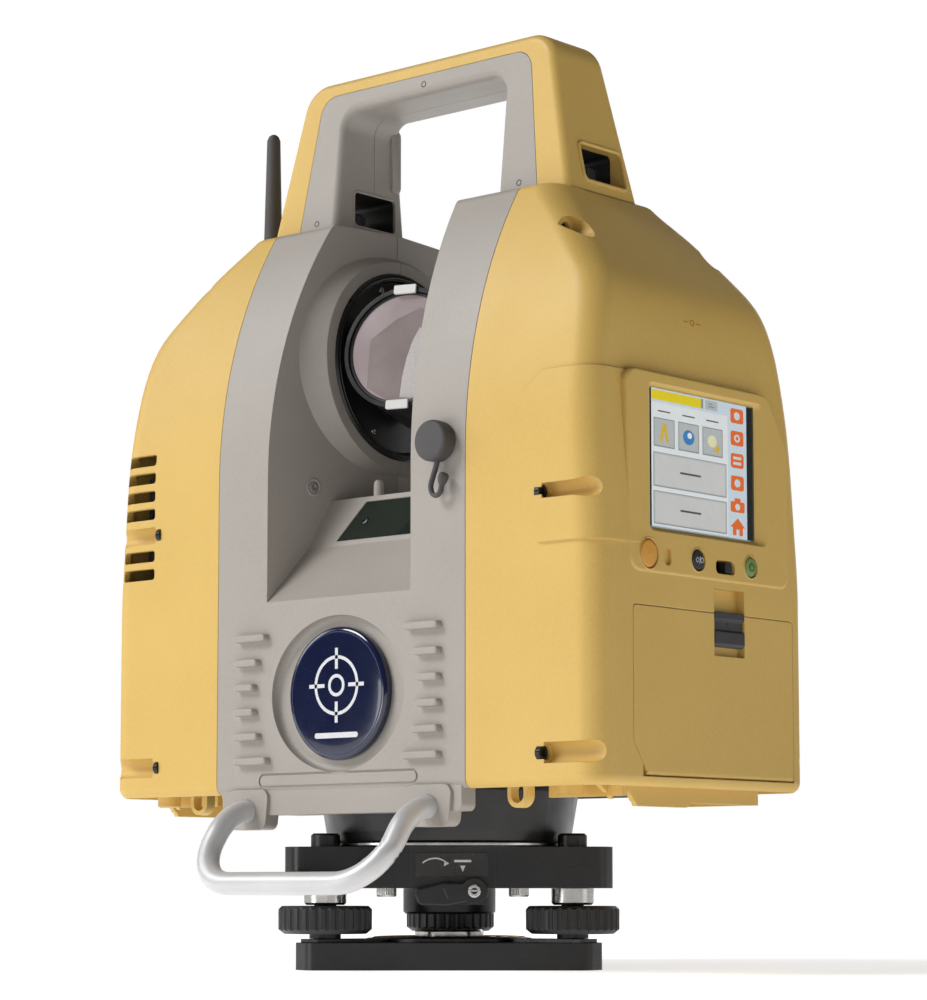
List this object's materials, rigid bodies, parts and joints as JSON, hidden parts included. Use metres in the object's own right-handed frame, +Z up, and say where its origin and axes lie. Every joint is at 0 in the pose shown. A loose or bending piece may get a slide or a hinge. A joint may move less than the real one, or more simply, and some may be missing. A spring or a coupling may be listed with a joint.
{
  "type": "terrestrial laser scanner",
  "caption": "Survey laser scanner with two towers, a spinning mirror head between them, touch screen, carrying handle, guard bar and a levelling base with foot screws.",
  "frame": {"origin": "mouth of the tripod thread in the underside of the base plate, on the upright axis", "axes": "+Z up along the upright axis, +X across the towers towards the screen, -Y towards the front with the badge"},
  "size_m": [0.2964, 0.1903, 0.419],
  "materials": {
    "yellow_shell": "fine textured satin",
    "grey_shell": "fine textured satin",
    "black_metal": "satin anodised",
    "black_plastic": "moulded",
    "dark_grey_plastic": "moulded",
    "rubber": "matt",
    "machined_steel": "turned",
    "silver_bar": "satin painted",
    "cast_alloy": "sand cast",
    "coated_mirror": "coated",
    "window_glass": "dark green tinted",
    "screen_glass": "clear",
    "display": "lit panel",
    "badge_blue": "gloss",
    "white_plastic": "moulded",
    "orange_plastic": "moulded",
    "green_plastic": "moulded",
    "circuit_board": "solder mask",
    "battery_case": "moulded"
  },
  "bodies": {
    "tribrach": {"base_plate": "black_metal", "thread_insert": "machined_steel", "spring_plate": "machined_steel", "screw_sleeves": "machined_steel", "screw_caps": "black_metal", "tribrach_body": "black_metal", "plummet_eyepiece": "black_metal", "round_level": "black_plastic", "dish_ring": "machined_steel", "base_cone": "black_metal", "azimuth_shaft": "machined_steel", "azimuth_rotor": "cast_alloy"},
    "foot_screw_1": {"foot_screw_1": "black_plastic"},
    "foot_screw_2": {"foot_screw_2": "black_plastic"},
    "foot_screw_3": {"foot_screw_3": "black_plastic"},
    "lock_lever": {"lock_lever": "black_metal"},
    "locking_ring": {"locking_ring": "machined_steel"},
    "alidade": {"front_panel": "grey_shell", "floor_window": "window_glass", "rear_panel": "grey_shell", "left_cover": "yellow_shell", "right_cover": "yellow_shell", "badge": "badge_blue", "bottom_cover": "black_plastic", "chassis_frame": "cast_alloy", "azimuth_bearings": "machined_steel", "azimuth_stator": "cast_alloy", "tilt_bearings": "machined_steel", "bearing_rings": "black_metal", "tilt_motor": "cast_alloy", "screen_glass": "screen_glass", "display_panel": "display", "control_board": "circuit_board", "laser_module": "cast_alloy", "camera_module": "cast_alloy", "battery_packs": "battery_case", "fan_frame": "black_plastic", "guard_bar": "silver_bar", "cover_screws": "machined_steel", "antenna_foot": "black_plastic", "handle_shell": "yellow_shell", "handle_panels": "grey_shell"},
    "scan_head": {"scan_drum": "black_metal", "mirror_bezel": "black_metal", "mirror_glass": "coated_mirror", "mirror_clips": "white_plastic", "tilt_shaft": "machined_steel"},
    "battery_door_left": {"battery_door_left": "yellow_shell"},
    "battery_door_right": {"battery_door_right": "yellow_shell"},
    "latch_left": {"latch_left": "dark_grey_plastic"},
    "latch_right": {"latch_right": "dark_grey_plastic"},
    "side_key": {"side_key": "orange_plastic"},
    "function_key": {"function_key": "black_plastic"},
    "power_key": {"power_key": "green_plastic"},
    "switch_slider": {"switch_slider": "black_plastic"},
    "fan_rotor": {"fan_rotor": "black_plastic"},
    "port_cap": {"port_cap": "rubber"},
    "thumbscrew_left": {"thumbscrew_left": "black_plastic"},
    "thumbscrew_right": {"thumbscrew_right": "black_plastic"},
    "antenna_whip": {"antenna_whip": "rubber"}
  },
  "joints": [
    {"name": "pan", "type": "hinge", "parent": "tribrach", "child": "alidade", "pos_m": [0, 0, 0.1], "axis": [0, 0, 1], "continuous": true},
    {"name": "mirror_spin", "type": "hinge", "parent": "alidade", "child": "scan_head", "pos_m": [0, 0, 0.28], "axis": [1, 0, 0], "continuous": true},
    {"name": "foot_screw_1_turn", "type": "hinge", "parent": "tribrach", "child": "foot_screw_1", "pos_m": [-0.02067, -0.06004, 0.025], "axis": [0, 0, 1], "continuous": true},
    {"name": "foot_screw_2_turn", "type": "hinge", "parent": "tribrach", "child": "foot_screw_2", "pos_m": [0.06233, 0.01212, 0.025], "axis": [0, 0, 1], "continuous": true},
    {"name": "foot_screw_3_turn", "type": "hinge", "parent": "tribrach", "child": "foot_screw_3", "pos_m": [-0.04166, 0.04792, 0.025], "axis": [0, 0, 1], "continuous": true},
    {"name": "lock_lever_turn", "type": "hinge", "parent": "tribrach", "child": "lock_lever", "pos_m": [0.03871, -0.0273, 0.0348], "axis": [0.6561, -0.7547, 0], "range_deg": [0, 90]},
    {"name": "locking_ring_turn", "type": "hinge", "parent": "tribrach", "child": "locking_ring", "pos_m": [0, 0, 0.046], "axis": [0, 0, 1], "range_deg": [0, 20]},
    {"name": "battery_door_left_swing", "type": "hinge", "parent": "alidade", "child": "battery_door_left", "pos_m": [-0.14595, 0, 0.084], "axis": [0, -1, 0], "range_deg": [0, 90]},
    {"name": "battery_door_right_swing", "type": "hinge", "parent": "alidade", "child": "battery_door_right", "pos_m": [0.14595, 0, 0.084], "axis": [0, 1, 0], "range_deg": [0, 90]},
    {"name": "latch_left_slide", "type": "slide", "parent": "battery_door_left", "child": "latch_left", "axis": [0, 0, -1], "range_m": [0, 0.003]},
    {"name": "latch_right_slide", "type": "slide", "parent": "battery_door_right", "child": "latch_right", "axis": [0, 0, -1], "range_m": [0, 0.003]},
    {"name": "side_key_press", "type": "slide", "parent": "alidade", "child": "side_key", "axis": [-1, 0, 0], "range_m": [0, 0.001], "stiffness_N_per_m": 400},
    {"name": "function_key_press", "type": "slide", "parent": "alidade", "child": "function_key", "axis": [-1, 0, 0], "range_m": [0, 0.001], "stiffness_N_per_m": 400},
    {"name": "power_key_press", "type": "slide", "parent": "alidade", "child": "power_key", "axis": [-1, 0, 0], "range_m": [0, 0.001], "stiffness_N_per_m": 400},
    {"name": "switch_slide", "type": "slide", "parent": "alidade", "child": "switch_slider", "axis": [0, -1, 0], "range_m": [0, 0.007]},
    {"name": "fan_spin", "type": "hinge", "parent": "alidade", "child": "fan_rotor", "pos_m": [-0.117, -0.056, 0.21], "axis": [0, 1, 0], "continuous": true},
    {"name": "port_cap_pull", "type": "slide", "parent": "alidade", "child": "port_cap", "axis": [0, -1, 0], "range_m": [0, 0.012]},
    {"name": "thumbscrew_left_turn", "type": "hinge", "parent": "alidade", "child": "thumbscrew_left", "pos_m": [-0.071, 0.0025, 0.355], "axis": [0, 0, 1], "continuous": true},
    {"name": "thumbscrew_right_turn", "type": "hinge", "parent": "alidade", "child": "thumbscrew_right", "pos_m": [0.071, 0.0025, 0.355], "axis": [0, 0, 1], "continuous": true},
    {"name": "antenna_fold", "type": "hinge", "parent": "alidade", "child": "antenna_whip", "pos_m": [-0.12, 0.004, 0.324], "axis": [-1, 0, 0], "range_deg": [0, 90]}
  ],
  "couplings": [
    {"joint": "locking_ring_turn", "follows": "lock_lever_turn", "ratio": 0.2}
  ]
}
